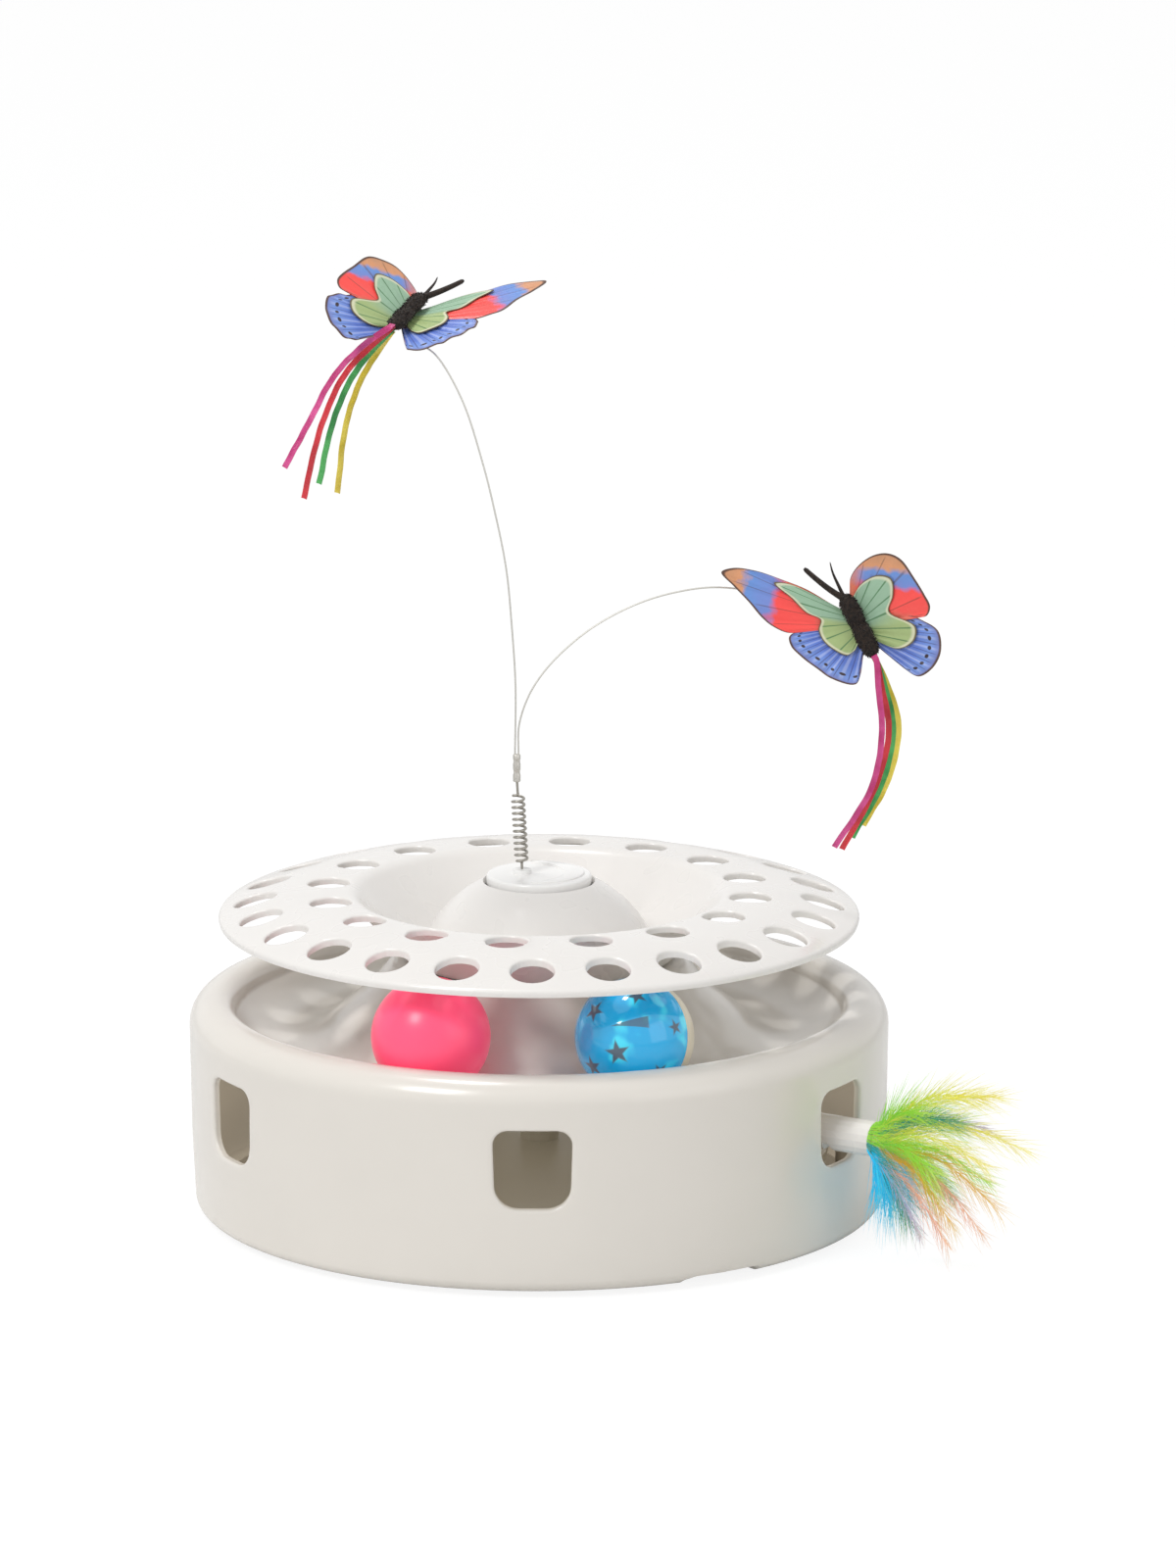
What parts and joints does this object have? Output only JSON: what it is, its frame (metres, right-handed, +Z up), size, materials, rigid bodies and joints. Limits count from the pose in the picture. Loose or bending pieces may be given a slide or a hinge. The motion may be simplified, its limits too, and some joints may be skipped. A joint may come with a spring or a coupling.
{
  "type": "interactive cat toy",
  "caption": "Round drum with windows, a ball track under a perforated domed cover, a pop-out feather on a sliding rod, and butterfly lures on spring wires that a turntable swings round.",
  "frame": {"origin": "centre of the flat underside of the bottom plate, on the drum's axis; the foot pads reach 2 mm lower", "axes": "+Z up along the drum's axis, -Y towards the front that the picture shows, +X to its right"},
  "size_m": [0.286, 0.24, 0.3276],
  "materials": {
    "shell_plastic": "satin moulded, warm white",
    "cover_plastic": "satin moulded, white",
    "inner_plastic": "matt moulded",
    "gear_plastic": "natural gear plastic",
    "black_plastic": "matt moulded",
    "foot_rubber": "matt",
    "steel": "plated",
    "spring_steel": "bright drawn wire",
    "ferrule_metal": "crimped sleeve",
    "motor_can": "plated can",
    "brass": "sintered bush",
    "board_laminate": "solder mask",
    "cell_can": "printed sleeve over a metal can",
    "wing_print": "printed film, coral and periwinkle",
    "wing_film": "translucent printed film",
    "body_felt": "dark felted fibre",
    "ribbon_pink": "crinkled foil film",
    "ribbon_red": "crinkled foil film",
    "ribbon_green": "crinkled foil film",
    "ribbon_yellow": "crinkled foil film",
    "feather": "dyed feathers, lime, yellow, cyan and coral",
    "ball_pink": "glossy coral pink",
    "ball_blue": "glossy translucent blue",
    "ball_cream": "glossy cream"
  },
  "bodies": {
    "base": {"base_shell": "shell_plastic", "bottom_plate": "shell_plastic", "foot_pad_1": "foot_rubber", "foot_pad_2": "foot_rubber", "foot_pad_3": "foot_rubber", "plate_screw_1": "steel", "plate_screw_2": "steel", "plate_screw_3": "steel", "battery_door": "shell_plastic", "battery_door_screw": "steel", "battery_cell_1": "cell_can", "battery_cell_2": "cell_can", "battery_cell_3": "cell_can", "battery_cell_4": "cell_can", "battery_contacts_back": "steel", "battery_contacts_front": "steel", "switch_housing": "black_plastic", "circuit_board": "board_laminate", "carousel_axle": "steel", "carousel_motor": "motor_can", "track_cover": "cover_plastic", "cover_screw_1": "steel", "cover_screw_2": "steel", "cover_screw_3": "steel", "lure_motor": "motor_can", "spindle_bush": "brass"},
    "lure": {"turntable": "cover_plastic", "spindle": "steel", "spindle_gear": "gear_plastic", "lure_spring": "spring_steel", "wire_ferrule": "ferrule_metal", "left_lure_wire": "spring_steel", "right_lure_wire": "spring_steel", "left_butterfly_wings": "wing_print", "left_butterfly_top_wings": "wing_film", "left_butterfly_body": "body_felt", "right_butterfly_wings": "wing_print", "right_butterfly_top_wings": "wing_film", "right_butterfly_body": "body_felt", "left_ribbon_pink": "ribbon_pink", "left_ribbon_red": "ribbon_red", "left_ribbon_green": "ribbon_green", "left_ribbon_yellow": "ribbon_yellow", "right_ribbon_pink": "ribbon_pink", "right_ribbon_red": "ribbon_red", "right_ribbon_green": "ribbon_green", "right_ribbon_yellow": "ribbon_yellow"},
    "lure_drive": {"lure_pinion": "gear_plastic"},
    "carousel": {"carousel": "inner_plastic", "slide_motor": "motor_can"},
    "carousel_drive": {"carousel_pinion": "gear_plastic"},
    "feather": {"feather_rod": "cover_plastic", "feather_plug": "inner_plastic", "feather_tuft": "feather"},
    "rack_drive": {"rack_pinion": "gear_plastic"},
    "pink_ball": {"pink_ball": "ball_pink"},
    "blue_ball": {"blue_ball_front_half": "ball_blue", "blue_ball_rear_half": "ball_cream"},
    "power_switch": {"power_switch": "black_plastic"}
  },
  "joints": [
    {"name": "lure_spin", "type": "hinge", "parent": "base", "child": "lure", "pos_m": [0, 0, 0.1], "axis": [0, 0, 1], "continuous": true},
    {"name": "lure_pinion_spin", "type": "hinge", "parent": "base", "child": "lure_drive", "pos_m": [0.01013, 0.01754, 0.0765], "axis": [0, 0, 1], "continuous": true},
    {"name": "carousel_turn", "type": "hinge", "parent": "base", "child": "carousel", "pos_m": [0, 0, 0.02], "axis": [0, 0, 1], "range_deg": [-3, 3]},
    {"name": "carousel_pinion_spin", "type": "hinge", "parent": "base", "child": "carousel_drive", "pos_m": [0.032, 0, 0.016], "axis": [0, 0, 1], "range_deg": [-9, 9]},
    {"name": "feather_slide", "type": "slide", "parent": "carousel", "child": "feather", "axis": [0.8563, -0.5165, 0], "range_m": [-0.06, 0], "deforming": ["feather_tuft"]},
    {"name": "rack_pinion_spin", "type": "hinge", "parent": "carousel", "child": "rack_drive", "pos_m": [0.03853, -0.02324, 0.02925], "axis": [0.5165, 0.8563, 0], "range_deg": [-573, 0]},
    {"name": "pink_ball_roll", "type": "hinge", "parent": "base", "child": "pink_ball", "pos_m": [0, 0, 0.0783], "axis": [0, 0, 1], "range_deg": [-143, 9.5]},
    {"name": "blue_ball_roll", "type": "hinge", "parent": "base", "child": "blue_ball", "pos_m": [0, 0, 0.0783], "axis": [0, 0, 1], "range_deg": [-9.5, 143]},
    {"name": "power_switch_slide", "type": "slide", "parent": "base", "child": "power_switch", "axis": [1, 0, 0], "range_m": [0, 0.004]}
  ],
  "couplings": [
    {"joint": "lure_pinion_spin", "follows": "lure_spin", "ratio": -2},
    {"joint": "carousel_pinion_spin", "follows": "carousel_turn", "ratio": -3},
    {"joint": "rack_pinion_spin", "follows": "feather_slide", "rad_per_m": 166.67}
  ]
}
